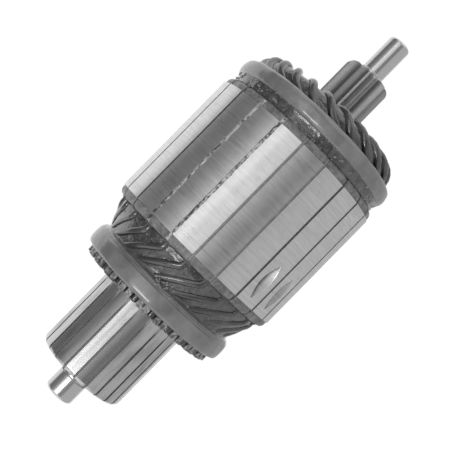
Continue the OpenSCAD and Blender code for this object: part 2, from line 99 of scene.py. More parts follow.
# %% Camera
picture_side = 452
pixel_size = 0.3028 * MM
lens_place = Vector((-12.8, -0.74, 287)) * MM
view_centre = Vector((-9.05, -0.74, 0)) * MM
shaft_turn = math.radians(45.5)
sight = view_centre - lens_place
tip = math.atan2(sight.x, -sight.z)
camera_data = bpy.data.cameras.new("camera")
camera_data.sensor_width = 36
camera_data.lens = camera_data.sensor_width * sight.length / (picture_side * pixel_size)
camera = bpy.data.objects.new("camera", camera_data)
camera.matrix_world = (Matrix.Translation(lens_place) @ Matrix.Rotation(-tip, 4, "Y")
                       @ Matrix.Rotation(-shaft_turn, 4, "Z"))
scene.collection.objects.link(camera)
scene.camera = camera
scene.view_settings.view_transform = "Standard"
print("lens", round(camera_data.lens, 1), "mm, tipped", round(math.degrees(tip), 2), "degrees")

# %% [markdown]
# ## A small language for node trees
# Node trees could be built with one line for every node and every link, but long chains of them are
# hard to read. The first class below wraps a socket, so that a finish or a shape can be written as
# sums and products, and each sum adds its own node. The second adds any other node, in one call.

# %% Values and graphs
class Value:
    """A socket of a graph. Sums and products of values add Math nodes."""

    def __init__(self, graph, socket):
        self.graph = graph
        self.socket = socket

    def math(self, operation, *others):
        return self.graph.node("Math", {"operation": operation}, [self, *others])

    def __add__(self, other):
        return self.math("ADD", other)

    __radd__ = __add__

    def __mul__(self, other):
        return self.math("MULTIPLY", other)

    __rmul__ = __mul__

    def __sub__(self, other):
        return self.math("SUBTRACT", other)

    def __rsub__(self, other):
        return self.graph.node("Math", {"operation": "SUBTRACT"}, [other, self])

    def __truediv__(self, other):
        return self.math("DIVIDE", other)

    def __rtruediv__(self, other):
        return self.graph.node("Math", {"operation": "DIVIDE"}, [other, self])

    def ramp(self, low, high, low_value=0.0, high_value=1.0):
        """Goes smoothly from low_value to high_value while this value goes from low to high."""
        return self.graph.node(
            "MapRange", {"interpolation_type": "SMOOTHSTEP"},
            {"Value": self, "From Min": low, "From Max": high,
             "To Min": low_value, "To Max": high_value})


class Graph:
    """A node tree, emptied first, whose nodes are added one call at a time."""

    def __init__(self, tree):
        self.tree = tree
        self.tree.nodes.clear()

    def node(self, kind, settings=(), values=(), output=0):
        """Adds a node of a kind, with its settings first and then values or links for its sockets."""
        made = self.tree.nodes.new(kind if "Node" in kind else "ShaderNode" + kind)
        for name, setting in dict(settings).items():
            setattr(made, name, setting)
        pairs = values.items() if isinstance(values, dict) else enumerate(values)
        for key, value in pairs:
            if isinstance(value, Value):
                self.tree.links.new(value.socket, made.inputs[key])
            else:
                made.inputs[key].default_value = value
        return Value(self, made.outputs[output]) if made.outputs else None

    def scaled(self, vector, factor):
        """A vector times a number or a value."""
        return self.node("VectorMath", {"operation": "SCALE"}, {0: vector, "Scale": factor})


def graph_of(owner):
    """The empty graph of a new material or world."""
    owner.use_nodes = True
    return Graph(owner.node_tree)


def grey(tone):
    """A neutral colour."""
    return (tone, tone, tone, 1)


# %% [markdown]
# ## Lamps
# Turned metal shows what stands round it. An image of a studio could light the armature, but then no
# band of light could be moved alone. So long panels stand along the shaft, each over its own range of
# directions, and they put the same bright bands on core, commutator and shaft. A narrow tube in front
# of them and a small window lamp beyond the commutator give varnish and resin their glints.

# %% Lamps
def shaft_direction(angle):
    """Direction at an angle about the shaft, from straight up towards -Y."""
    return Vector((0, -math.sin(math.radians(angle)), math.cos(math.radians(angle))))


def softbox(name, start, stop, distance, length, radiance, along):
    """A rectangular lamp that fills the directions from start to stop and points at the shaft.

    Its power is what gives its whole face the radiance.
    """
    middle = (start + stop) / 2
    half = math.radians(stop - start) / 2
    lamp = bpy.data.lights.new(name, "AREA")
    lamp.shape = "RECTANGLE"
    lamp.size = length
    lamp.size_y = 2 * distance * math.tan(half)
    lamp.energy = radiance * math.pi * lamp.size * lamp.size_y
    holder = bpy.data.objects.new(name, lamp)
    holder.location = shaft_direction(middle) * distance + Vector((along, 0, 0))
    holder.rotation_euler = (math.radians(middle), 0, 0)
    holder.visible_camera = False
    scene.collection.objects.link(holder)


# Each row says which directions it covers, in degrees, its distance and length, its radiance, and its
# place along the shaft. Lengths are in metres.
SOFTBOXES = {
    "key_panel": (-34, -17, 0.62, 0.9, 1.15, 0.0),
    "key_panel_low": (-17, -1, 0.62, 0.9, 1.05, 0.0),
    "glint_tube": (-26.5, -24.5, 0.60, 0.9, 1.5, 0.0),
    "window": (-26, -2, 0.60, 0.15, 6.5, -0.32),
}
for name, row in SOFTBOXES.items():
    softbox(name, *row)
print("hung", len(SOFTBOXES), "lamps")

# %% [markdown]
# ## Cards
# Between the bright bands the metal shows darker ones, because real objects stood round it. Flags of
# cloth would do as well in a studio. Here each band comes from a card along the shaft, which shines
# faintly and which only reflections see, so that it neither lights nor shades anything. An area lamp
# lets the world behind it shine through, so a black card also closes the space behind the panels.

# %% Cards
floor_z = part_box("core_stack")[0].z
over_floor = 0.2 * MM
card_distance = 0.62
card_length = 1.2


def card(name, fold, length, radiance):
    """A card along the shaft, folded through the given points, that only reflections see."""
    half = Vector((length / 2, 0, 0))
    points = [point + side for point in fold for side in (-half, half)]
    faces = [(2 * i, 2 * i + 1, 2 * i + 3, 2 * i + 2) for i in range(len(fold) - 1)]
    shine = bpy.data.materials.new(name)
    graph = graph_of(shine)
    emission = graph.node("Emission", {}, {"Color": grey(radiance)})
    graph.node("OutputMaterial", {}, {"Surface": emission})
    mesh = bpy.data.meshes.new(name)
    mesh.from_pydata(points, [], faces)
    mesh.materials.append(shine)
    holder = bpy.data.objects.new(name, mesh)
    holder.visible_camera = False
    holder.visible_diffuse = False
    holder.visible_shadow = False
    scene.collection.objects.link(holder)


def aloft(angle, distance=card_distance):
    """A point in a direction about the shaft, in metres."""
    return shaft_direction(angle) * distance


def on_floor(y):
    """A point just above the floor, beside the shaft."""
    return Vector((0, y, floor_z + over_floor))


# Each row gives the points of the fold, the length and the radiance.
CARDS = {
    "panel_back": ([aloft(-36, 0.66), aloft(2, 0.66)], 1.3, 0.0),
    "top_card": ([aloft(0), aloft(15)], card_length, 0.36),
    "low_card": ([aloft(15), aloft(31)], card_length, 0.20),
    "near_card": ([aloft(31), on_floor(-0.40), on_floor(-0.034)], card_length, 0.58),
    "upper_side_card": ([aloft(-50, 0.61), aloft(-34)], card_length, 0.42),
    "lower_side_card": ([aloft(-80, 0.60), aloft(-50, 0.61)], card_length, 0.24),
    "dark_card": ([on_floor(0.185), aloft(-72, 0.30)], 1.0, 0.19),
}
for name, row in CARDS.items():
    card(name, *row)
print("set up", len(CARDS), "cards")

# %% [markdown]
# ## Floor
# The armature lies on white paper. More light would turn grey paper white, but it would bleach the
# armature too. So the paper shines for the eye only, by way of Light Path, and a share of it stays
# plain paper, which takes the soft shadow. Metal and glass see the same white as the eye.

# %% Floor
floor_half = 2.0
paper_tone = 0.8
paper_glow = 1.05
glow_share = 0.93


def seen_directly(graph):
    """One for what the eye, metal and glass see, and nothing for the light itself."""
    eye, metal, glass = [graph.node("LightPath", output=kind)
                         for kind in ("Is Camera Ray", "Is Glossy Ray", "Is Transmission Ray")]
    return eye.math("MAXIMUM", metal).math("MAXIMUM", glass)


white_paper = bpy.data.materials.new("white_paper")
paper = graph_of(white_paper)
shaded = paper.node("BsdfDiffuse", {}, {"Color": grey(paper_tone)})
glowing = paper.node("Emission", {}, {"Strength": paper_glow})
paper_mix = paper.node("MixShader", {}, [seen_directly(paper) * glow_share, shaded, glowing])
paper.node("OutputMaterial", {}, {"Surface": paper_mix})
floor_mesh = bpy.data.meshes.new("floor")
floor_mesh.from_pydata(
    [(-floor_half, -floor_half, floor_z), (floor_half, -floor_half, floor_z),
     (floor_half, floor_half, floor_z), (-floor_half, floor_half, floor_z)],
    [], [(0, 1, 2, 3)])
floor_mesh.materials.append(white_paper)
floor = bpy.data.objects.new("floor", floor_mesh)
scene.collection.objects.link(floor)
print("floor", round(floor_z / MM, 2), "mm from the shaft's axis")

# %% [markdown]
# ## World
# What no card or lamp covers is the room itself. One grey all round is enough for it, and it softens
# the shadows. An image of a room would add reflections of things that the photograph doesn't show. To
# the eye, and in metal and glass, the world is as white as the paper.

# %% World
ambient_tone = 0.58
world = bpy.data.worlds.new("studio")
scene.world = world
sky = graph_of(world)
ambient = sky.node("Background", {}, {"Color": grey(ambient_tone)})
white = sky.node("Background", {}, {"Color": grey(1.0)})
sky_mix = sky.node("MixShader", {}, [seen_directly(sky), ambient, white])
sky.node("OutputWorld", {}, {"Surface": sky_mix})
print("ambient light", ambient_tone)

# %% [markdown]
# ## Finishes
# Steel, copper, varnish and resin could each be an image wrapped round its piece, but an image needs
# unwrapping and shows a seam. Noise that reads Object coordinates has none. This class holds the tree
# of one finish. It gives the place in millimetres, the angle and the radius about the shaft, soft
# noise, relief, and the shader at its end.

# %% A class for finishes
class Finish(Graph):
    """The tree of a material."""

    def __init__(self, name):
        self.material = bpy.data.materials.new(name)
        self.material.use_nodes = True
        super().__init__(self.material.node_tree)
        self.place = self.scaled(self.node("TexCoord", output="Object"), 1 / MM)
        self.x, self.y, self.z = [self.node("SeparateXYZ", {}, [self.place], axis) for axis in "XYZ"]

    def angle(self):
        """Degrees about the shaft, from straight up towards -Y."""
        return (0 - self.y).math("ARCTAN2", self.z) * (180 / math.pi)

    def radius(self):
        """Distance from the shaft's axis, in millimetres."""
        return (self.y * self.y + self.z * self.z).math("SQRT")

    def noise(self, size, stretch=(1, 1, 1), detail=2.0, roughness=0.5, shift=0.0):
        """Soft noise from 0 to 1 with spots of a size in millimetres, stretched along the axes."""
        spots = self.node("VectorMath", {"operation": "MULTIPLY"},
                          [self.place, [1 / (size * s) for s in stretch]])
        moved = self.node("VectorMath", {"operation": "ADD"}, [spots, (shift, shift * 2, shift * 3)])
        return self.node("TexNoise", {}, {"Vector": moved, "Scale": 1.0, "Detail": detail,
                                          "Roughness": roughness})

    def bump(self, height, strength, distance):
        """Surface relief from a height, where distance is its depth in millimetres."""
        return self.node("Bump", {}, {"Height": height, "Strength": strength,
                                      "Distance": distance * MM})

    def surface(self, **values):
        """Ends the finish with a Principled BSDF; socket names have underscores for spaces."""
        shader = self.node("BsdfPrincipled", {}, {name.replace("_", " "): value
                                                  for name, value in values.items()})
        self.node("OutputMaterial", {}, {"Surface": shader})
        return self.material


FINISHES = {}


def keep_finish(stem, material):
    """Keeps a finish under the name of the nodes that wear it."""
    FINISHES[stem] = material
    print(material.name, "has", len(material.node_tree.nodes), "nodes")


# %% [markdown]
# ## The core
# The core is a stack of thin steel sheets that a lathe turned to size. Fine noise, stretched far round
# the shaft, gives the turning marks, and a random tone for each sheet draws faint lines across the
# teeth. Real rings would need thousands of faces and would hardly look different. The two balance cuts
# lie deeper than the turned face, so the radius finds them. Painted shade darkens them, and more
# painted shade darkens the wall away from the lamps.

# %% Turned laminations
sheet_thickness = 0.5
tooth_arc = math.radians(slot_pitch) * core_r
cut_floor, cut_edge = core_r - 0.16, core_r - 0.06
shaded_wall_width = 0.8


def core_finish():
    """Outer edges of the laminations, turned bright, with faint stains of varnish and painted shade in
    the balance cuts.
    """
    f = Finish("turned_laminations")
    sheet = (f.x / sheet_thickness).math("FLOOR")
    sheet_tone = f.node("TexWhiteNoise", {"noise_dimensions": "1D"}, {"W": sheet})
    patches = f.noise(9, (0.7, 1.6, 1.6), detail=3)
    streaks = f.noise(0.9, (0.8, 12, 12), detail=1)
    grain = f.noise(1.3, (0.5, 2.5, 2.5), detail=3, roughness=0.6, shift=5)
    stains = f.noise(3.2, (1.2, 1, 1), detail=4, roughness=0.6, shift=7).ramp(0.55, 0.75)
    steel = 0.42 + patches * 0.10 + sheet_tone * 0.03 + streaks * 0.22 + grain * 0.16 - stains * 0.06
    from_tooth_middle = ((f.angle() / slot_pitch).math("FRACT") - 0.5) * tooth_arc
    # Painted shade: the balance cuts are darker, and the wall away from the lamps darker still.
    in_cut = f.radius().ramp(cut_floor, cut_edge, 1.0, 0.0)
    painted_wall_shade = in_cut * from_tooth_middle.ramp(0.0, shaded_wall_width, 1.0, 0.0)
    return f.surface(
        Base_Color=steel - in_cut * 0.12 - painted_wall_shade * 0.30, Metallic=1.0,
        Roughness=0.22 + patches * 0.08 + streaks * 0.06 + in_cut * 0.18,
        Normal=f.bump(streaks + grain, 0.25, 0.006))


keep_finish("core_stack", core_finish())

# %% [markdown]
# ## The commutator's copper
# The brushes keep a track along the bars bright but smudged, and behind it the risers, where the wires
# are soldered in, are dull and flecked. Bars and risers are one piece of copper, so one finish wears
# both looks, and the place along the shaft tells them apart.

# %% Brush track and risers
track_clear_r = 20
bar_points = [vertex.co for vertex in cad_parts["commutator_bar_01"].data.vertices]
riser_start = min(p.x for p in bar_points if math.hypot(p.y, p.z) > track_clear_r * MM) / MM
riser_edge = 0.05
print("the risers start at", round(riser_start, 2), "mm")


def riser_specks(f):
    """Noise for the specks on the risers."""
    return f.noise(0.9, detail=4, roughness=0.7, shift=2)


def soldered(specks):
    """Tone of the risers' ends, flecked with solder and varnish."""
    return 0.13 + specks.ramp(0.42, 0.62) * 0.34


def copper_finish():
    """Turned copper with the smudged track of the brushes, and soldered, varnish-flecked risers."""
    f = Finish("brushed_track_copper")
    rings = f.noise(0.5, (0.5, 12, 12))
    smudges = f.noise(5.5, (2.2, 0.8, 0.8), detail=4, roughness=0.6)
    wear = f.noise(2.2, (3.0, 0.7, 0.7), detail=3, roughness=0.6, shift=4).ramp(0.45, 0.7)
    specks = riser_specks(f)
    track = 0.57 - smudges.ramp(0.42, 0.75) * 0.20 + rings * 0.05 - wear * 0.08
    on_riser = f.x.ramp(riser_start - riser_edge, riser_start + riser_edge)
    return f.surface(
        Base_Color=track * (1 - on_riser) + soldered(specks) * on_riser,
        Metallic=1 - on_riser * 0.45,
        Roughness=0.2 + smudges.ramp(0.4, 0.8) * 0.12 + on_riser * (0.12 + specks * 0.15),
        Normal=f.bump(rings * 0.006 + specks * on_riser, 0.5, 0.2))


keep_finish("commutator_bar", copper_finish())

# %% [markdown]
# ## The shaft
# The journals are ground bright. The pinion, cut into the same shaft, came out of the hardening dark
# and is a little oily. Two materials could be split over the faces, but the change is gradual
# where the pinion comes out from under the loops, so one finish fades between them.

# %% Ground and hardened steel
under_loops = 3
pilot_length = 13.4
pinion_fade = 5
pinion_edge = 0.2
pinion_start = loop_tip - under_loops
pinion_end = high_x("shaft") - pilot_length


def shaft_finish():
    """Ground journals, and a pinion that is dark and oily."""
    f = Finish("ground_and_hardened_steel")
    before_end = f.x.ramp(pinion_end - pinion_edge, pinion_end + pinion_edge, 1.0, 0.0)
    pinion = before_end * f.x.ramp(pinion_start - pinion_fade, pinion_start)
    rings = f.noise(0.45, (0.4, 12, 12))
    dull = f.noise(3.0, (2.5, 1, 1), detail=3)
    spots = f.noise(0.9, detail=3, roughness=0.6, shift=4)
    return f.surface(
        Base_Color=0.60 + rings * 0.05 - pinion * (0.30 - dull * 0.10 - spots * 0.12),
        Metallic=1.0, Roughness=0.25 + pinion * (0.16 + dull * 0.1),
        Normal=f.bump(spots, 0.2, 0.004))


keep_finish("shaft", shaft_finish())

# %% [markdown]
# ## Varnished wires
# The whole winding was dipped in varnish, which left its wires dark and glossy. Clear varnish over
# copper could be a glass shell round each wire, but it is slow to render and can't be baked. A dark
# ground with a coat and a strong mirror, from a high index of refraction, looks the same.

# %% Varnished wires
def wire_finish():
    """Enamelled copper under thick varnish."""
    f = Finish("varnished_wire")
    blotches = f.noise(4.0, detail=4, roughness=0.6)
    runs = f.noise(1.6, detail=3, roughness=0.6, shift=3)
    return f.surface(
        Base_Color=0.022 + blotches.ramp(0.4, 0.75) * 0.05, Roughness=0.15 + blotches * 0.12,
        IOR=1.85, Coat_Weight=0.4, Normal=f.bump(runs, 0.5, 0.10))


keep_finish("hairpin", wire_finish())

# %% [markdown]
# ## Pooled varnish
# Varnish ran together between the wires and set. It is dark where it is deep, pale where it climbs
# the rear band, and flecked with dust. The lumps that catch the light come from relief, since waves
# that small would take many faces. The larger waves are in the mesh, further down.

# %% Pooled varnish
fillet_start, fillet_end = rear_band_end - 0.2, rear_band_end + 1.6


def pool_finish():
    """Varnish that pooled and set between the wires, dark where deep and flecked with dust."""
    f = Finish("pooled_varnish")
    depth = f.noise(2.6, detail=4, roughness=0.6, shift=1)
    flecks = f.noise(0.8, detail=3, roughness=0.7, shift=6).ramp(0.6, 0.72)
    lumps = f.noise(1.1, detail=3, shift=8)
    fillet = f.x.ramp(fillet_start, fillet_end, 1.0, 0.0)
    return f.surface(
        Base_Color=0.02 + depth.ramp(0.35, 0.7) * 0.05 + flecks * 0.16 + fillet * 0.08,
        Metallic=flecks * 0.5, Roughness=0.12 + depth * 0.16, IOR=1.85, Coat_Weight=0.5,
        Normal=f.bump(lumps, 0.6, 0.35))


keep_finish("pool", pool_finish())

# %% [markdown]
# ## Varnish in the slots
# Between the teeth the varnish has sunk a little below the steel, and it is dark. On the two slots
# where it brimmed over, a pale broken line is a painted highlight, and the two slots in front of them
# get an even grey, which is painted light. Three finishes would do, but one that reads the angle about
# the shaft keeps the varnish a single material.

# %% Varnish in the slots
brim_start, brim_stop = -40, -9
front_start, front_stop = -5, 23
angle_fade = 3


def between(angle, start, stop):
    """One while an angle lies between two others, and less towards them."""
    return angle.ramp(start, start + angle_fade) * angle.ramp(stop - angle_fade, stop, 1.0, 0.0)


def slot_finish():
    """Dark varnish in the mouths of the slots, with a painted highlight and painted light on some of
    them.
    """
    f = Finish("slot_varnish")
    dots = f.noise(0.9, (1.2, 1, 1), detail=3, roughness=0.7, shift=3)
    runs = f.noise(4.0, (2.0, 1, 1), shift=5)
    angle = f.angle()
    # Painted highlight: a pale broken line on the two slots that brim over.
    painted_glint_line = between(angle, brim_start, brim_stop) * (dots + runs * 0.5).ramp(0.62, 0.85)
    # Painted light: an even grey on the two slots in front of them.
    painted_slot_light = painted_glint_line * 0.42 + between(angle, front_start, front_stop) * 0.16
    return f.surface(
        Base_Color=0.05 + dots.ramp(0.4, 0.7) * 0.07 + painted_slot_light, Metallic=0.35,
        Roughness=0.25 + dots * 0.15, IOR=1.8, Normal=f.bump(dots, 0.5, 0.15))


keep_finish("slot", slot_finish())

# %% [markdown]
# ## Beads of varnish
# Drops of varnish set as glossy beads. They could be glass, but glass is slow to render and can't be
# baked. So their tone is a middle grey, between the wires and the resin that they sit on, and a sharp
# coat gives each of them its glint.

# %% Beads of varnish
def bead_finish():
    """Clear beads of varnish, which take their tone from what they sit on."""
    f = Finish("varnish_beads")
    depth = f.noise(1.5)
    return f.surface(
        Base_Color=0.10 + depth * 0.14, Roughness=0.06 + depth * 0.05, IOR=1.6, Coat_Weight=0.8)


keep_finish("bead", bead_finish())

# %% [markdown]
# ## Resin bands
# Each band is glass yarn, wound round the ends of the winding and soaked in resin. Turns of yarn could
# be modelled one by one, but the resin hides them almost wholly. So the finish is cloudy, with a trace
# of the yarn in its tone and its relief.

# %% Resin bands
def band_finish():
    """Glass yarn under resin."""
    f = Finish("resin_band")
    cloud = f.noise(5.0, detail=4, roughness=0.55)
    yarn = f.noise(0.8, (0.4, 6, 6))
    return f.surface(
        Base_Color=0.11 + cloud.ramp(0.3, 0.7) * 0.06 + yarn * 0.02, Roughness=0.18 + cloud * 0.12,
        IOR=1.9, Coat_Weight=0.3, Normal=f.bump(cloud + yarn * 0.15, 0.25, 0.4))


keep_finish("rear_band", band_finish())

# %% [markdown]
# ## End plates
# A plate of insulating laminate closes each end of the core, mottled where varnish ran over it. The
# runs could be meshes of their own, but they are thinner than a hair. So the plate's own finish is
# darker in blotches, glossy where it is wet, and flecked.

# %% End plates
def plate_finish():
    """Insulating end plates, mottled where varnish ran over them."""
    f = Finish("end_plate_laminate")
    blotches = f.noise(2.4, detail=5, roughness=0.7)
    wet = f.noise(3.5, detail=3, shift=9).ramp(0.45, 0.65)
    flecks = f.noise(0.9, detail=3, roughness=0.7, shift=4).ramp(0.58, 0.7)
    return f.surface(
        Base_Color=0.09 + blotches.ramp(0.3, 0.75) * 0.16 + flecks * 0.10,
        Roughness=0.45 - wet * 0.25, IOR=1.5, Normal=f.bump(blotches, 0.6, 0.35))


keep_finish("rear_plate", plate_finish())

# %% [markdown]
# ## Slot paper
# Paper lines the slots and keeps the layers of the winding apart. Fibres could be drawn one by one,
# but hardly any of the paper shows. So a plain finish with long, faint streaks is enough, dark because
# the paper is soaked in varnish.

# %% Slot paper
def paper_finish():
    """Insulating paper soaked in varnish."""
    f = Finish("slot_paper")
    fibres = f.noise(1.2, (2, 1, 1), detail=4, roughness=0.6)
    return f.surface(
        Base_Color=0.06 + fibres * 0.07, Roughness=0.4 + fibres * 0.2, IOR=1.5,
        Normal=f.bump(fibres, 0.3, 0.08))


keep_finish("slot_liners", paper_finish())

# %% [markdown]
# ## The commutator's moulding
# A dull, dark compound holds the bars and fills the gaps between them. Near the track the top of the
# gaps is lighter, as painted light, most of all towards the risers, and between the risers the
# compound carries the same solder as they do. Painting this by hand would need an image, while radius
# and place draw it from the form.

# %% Moulding
gap_bottom_r, gap_top_r = 14.0, 14.6
riser_foot_r, riser_clear_r = 15.2, 15.6
gap_light_start, gap_light_end = -46, -43


def moulding_finish():
    """Dark moulding compound with a faint grain, and painted light at the top of the gaps near the brush
    track.
    """
    f = Finish("moulding_compound")
    grain = f.noise(0.9, detail=4, roughness=0.7)
    among_risers = f.radius().ramp(riser_foot_r, riser_clear_r)
    near_track = f.radius().ramp(gap_bottom_r, gap_top_r) * (1 - among_risers)
    # Painted light: the top of the gaps near the track is lighter, more so towards the risers.
    painted_gap_light = near_track * f.x.ramp(gap_light_start, gap_light_end, 1.0, 1.6)
    return f.surface(
        Base_Color=(0.05 + grain * 0.06 + painted_gap_light * 0.18
                    + among_risers * soldered(riser_specks(f)) * 0.6),
        Roughness=0.5 + grain * 0.15, IOR=1.5, Normal=f.bump(grain, 0.3, 0.08))


keep_finish("commutator_moulding", moulding_finish())

# %% [markdown]
# ## Every node gets its finish
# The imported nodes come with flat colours. Each could get a material of its own, but real bars come
# from one strip of copper and look alike. So numbered nodes share the finish of their kind, and a few
# others wear the finish of a piece made of the same stuff.

# %% Give every node its finish
SHARED = {
    "drive_plate": "rear_plate", "slot_separators": "slot_liners",
    "rear_layer_sleeve": "slot_liners", "drive_layer_sleeve": "slot_liners",
    "drive_band": "rear_band", "commutator_sleeve": "shaft",
}


def finish_of(node):
    """The finish of a node, which numbered nodes share with their like."""
    stem = node[:-3] if node[-2:].isdigit() else node
    return FINISHES[SHARED.get(stem, stem)]


for name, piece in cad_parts.items():
    piece.data.materials.clear()
    piece.data.materials.append(finish_of(name))
print("finished", len(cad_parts), "nodes")

# %% [markdown]
# ## Rounded hairpins
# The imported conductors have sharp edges. Real ones have round corners and a coat of varnish. A sweep
# along the wire's path would need that path again, so each packed wire is copied instead, its
# triangles are joined to strips, and its long edges get a round bevel. The bevel is nearly as wide as
# half the wire, and at tight bends it throws some points off it. Those are pulled back to the packed
# wire, so that the copy stays as large as the original.

# %% Hairpins
corner_width = 0.95 * MM
corner_steps = 4
stray_share = 0.4
weld = 0.002 * MM
flat_enough = math.radians(35)
square_enough = math.radians(70)
sharp_edge = math.radians(50)
sharp_shade = math.radians(60)


def add_piece(name, mesh, replaced=None):
    """Puts a finished mesh in the scene as a piece of the armature."""
    piece = bpy.data.objects.new(name, mesh)
    scene.collection.objects.link(piece)
    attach(piece, "root")
    if replaced:
        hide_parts(replaced)


def rounded_copy(node):
    """A copy of a node's mesh with its sharp edges rounded."""
    form = bmesh.new()
    form.from_mesh(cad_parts[node].data)
    bmesh.ops.remove_doubles(form, verts=form.verts, dist=weld)
    bmesh.ops.join_triangles(form, faces=form.faces, angle_face_threshold=flat_enough,
                             angle_shape_threshold=square_enough)
    packed = BVHTree.FromBMesh(form)
    edges = [edge for edge in form.edges if edge.calc_face_angle(0) > sharp_edge]
    bmesh.ops.bevel(form, geom=edges, offset=corner_width, offset_type="OFFSET",
                    segments=corner_steps, profile=0.5, affect="EDGES", clamp_overlap=False)
    for vertex in form.verts:
        nearest, _, _, distance = packed.find_nearest(vertex.co)
        if distance > stray_share * corner_width:
            vertex.co = nearest
    mesh = bpy.data.meshes.new(node + "_rounded")
    form.to_mesh(mesh)
    form.free()
    mesh.shade_smooth()
    mesh.set_sharp_from_angle(angle=sharp_shade)
    mesh.materials.clear()
    mesh.materials.append(finish_of(node))
    return mesh


for name in hairpins:
    add_piece(name + "_varnished", rounded_copy(name), name)
print("rounded", len(hairpins), "hairpins")

# %% [markdown]
# ## Shapes
# Waves, copies round the shaft and scattered beads follow rules, so Geometry Nodes make them. This
# class holds one such tree. Its inputs have names, and they are set by the socket's identifier before
# the tree first runs. What comes out is kept as a plain mesh, because the export drops instances.

# %% A class for shapes
class Shape(Graph):
    """A Geometry Nodes tree with named inputs, which ends with realized, finished geometry."""

    def __init__(self, name, **kinds):
        super().__init__(bpy.data.node_groups.new(name, "GeometryNodeTree"))
        face = self.tree.interface
        face.new_socket(name="Geometry", in_out="INPUT", socket_type="NodeSocketGeometry")
        self.identifiers = {}
        for label, kind in {**kinds, "Finish": "Material"}.items():
            socket = face.new_socket(name=label, in_out="INPUT", socket_type="NodeSocket" + kind)
            self.identifiers[label] = socket.identifier
        face.new_socket(name="Geometry", in_out="OUTPUT", socket_type="NodeSocketGeometry")

    def input(self, label):
        """The value of a named input."""
        return self.node("NodeGroupInput", output=label)

    def rippled(self, geometry, amount, size, seed):
        """The geometry with soft lumps of a size, as high as amount in all."""
        place = self.scaled(self.node("GeometryNodeInputPosition"), 1 / size)
        moved = self.node("VectorMath", {"operation": "ADD"}, [place, seed])
        lumps = self.node("TexNoise", {}, {"Vector": moved, "Scale": 1.0, "Detail": 2.0})
        offset = self.scaled(self.node("GeometryNodeInputNormal"), (lumps - 0.5) * amount)
        return self.node("GeometryNodeSetPosition", {}, {"Geometry": geometry, "Offset": offset})

    def finish(self, geometry):
        """Ends the tree with Realize Instances and Set Material."""
        real = self.node("GeometryNodeRealizeInstances", {}, {"Geometry": geometry})
        done = self.node("GeometryNodeSetMaterial", {},
                         {"Geometry": real, "Material": self.input("Finish")})
        self.node("NodeGroupOutput", {}, {"Geometry": done})
        return self

    def mesh(self, start, name, **inputs):
        """Runs the tree on a mesh, and gives its result as a plain mesh."""
        holder = bpy.data.objects.new(name, start)
        scene.collection.objects.link(holder)
        modifier = holder.modifiers.new("shape", "NODES")
        modifier.node_group = self.tree
        for label, value in inputs.items():
            modifier[self.identifiers[label]] = value
        graph = bpy.context.evaluated_depsgraph_get()
        made = bpy.data.meshes.new_from_object(holder.evaluated_get(graph), depsgraph=graph)
        holder.modifiers.remove(modifier)
        bpy.data.objects.remove(holder)
        made.name = name
        return made


# %% [markdown]
# ## Skins
# Bands and varnish go round the shaft, or along it, with one section all the way. Blender could spin a
# curve round an axis, but a strip along the core needs a second way then. One function that lays faces
# over rows of points makes both, and its normals are recalculated so that they point outwards.

# %% A skin over rings of points
def skin(rings, closed):
    """A mesh over rings of points, closed into a loop or capped at its ends."""
    count = len(rings[0])
    form = bmesh.new()
    rows = [[form.verts.new(point) for point in ring] for ring in rings]
    following = rows[1:] + rows[:1] if closed else rows[1:]
    for low, high in zip(rows, following):
        for i in range(count):
            j = (i + 1) % count
            form.faces.new((low[i], low[j], high[j], high[i]))
    if not closed:
        form.faces.new(rows[0][::-1])
        form.faces.new(rows[-1])
    bmesh.ops.recalc_face_normals(form, faces=form.faces)
    mesh = bpy.data.meshes.new("skin")
    form.to_mesh(mesh)
    form.free()
    mesh.shade_smooth()
    return mesh


def on_ring(x, r, angle):
    """The point at a place, a radius and an angle in degrees, from millimetres to metres."""
    return Vector((x * MM, 0, 0)) + shaft_direction(angle) * r * MM


def turned(section, start=0, stop=360, steps=300):
    """A ring, or a stretch of one, with a section of places and radii in millimetres."""
    whole = stop - start == 360
    count = steps if whole else steps + 1
    angles = [start + (stop - start) * i / steps for i in range(count)]
    return skin([[on_ring(x, r, angle) for x, r in section] for angle in angles], whole)


# %% [markdown]
# ## Wound bands
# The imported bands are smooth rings. Real ones were wound and soaked by hand, and set with waves and
# lumps. Sculpting would give them too, but not the same ones twice. So each is turned from the section
# of its packed ring, and a small tree adds the waves from a fixed seed.

# %% Wound bands
wave_height, wave_size = 0.35 * MM, 7 * MM
lump_height, lump_size = 0.12 * MM, 1.8 * MM


def section_of(node):
    """The outline of a turned node's section, in order round its middle."""
    points = {(round(v.co.x / MM, 2), round(math.hypot(v.co.y, v.co.z) / MM, 2))
              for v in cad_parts[node].data.vertices}
    middle_x = sum(p[0] for p in points) / len(points)
    middle_r = sum(p[1] for p in points) / len(points)
    return sorted(points, key=lambda p: math.atan2(p[1] - middle_r, p[0] - middle_x))


def ripple_shape():
    """A tree that gives any mesh long waves and small lumps."""
    s = Shape("ripples", Wave="Float", WaveSize="Float", Lump="Float", LumpSize="Float",
              Seed="Float")
    waved = s.rippled(s.input("Geometry"), s.input("Wave"), s.input("WaveSize"), s.input("Seed"))
    return s.finish(s.rippled(waved, s.input("Lump"), s.input("LumpSize"), s.input("Seed")))


ripples = ripple_shape()
for node, seed in (("rear_band", 3.0), ("drive_band", 8.0)):
    section = section_of(node)
    ring = ripples.mesh(turned(section), node + "_wound", Wave=wave_height, WaveSize=wave_size,
                        Lump=lump_height, LumpSize=lump_size, Seed=seed, Finish=finish_of(node))
    add_piece(node + "_wound", ring, node)
    print(node, "has a section of", len(section), "points")

# %% [markdown]
# ## The winding's crest
# Varnish fills the winding up to a level a little below the wires, so the wires' own height has to be
# known at each place along the shaft. It could be worked out again from the wire's path, but the packed
# hairpin already holds it: its points that no neighbour stands above are the crest.

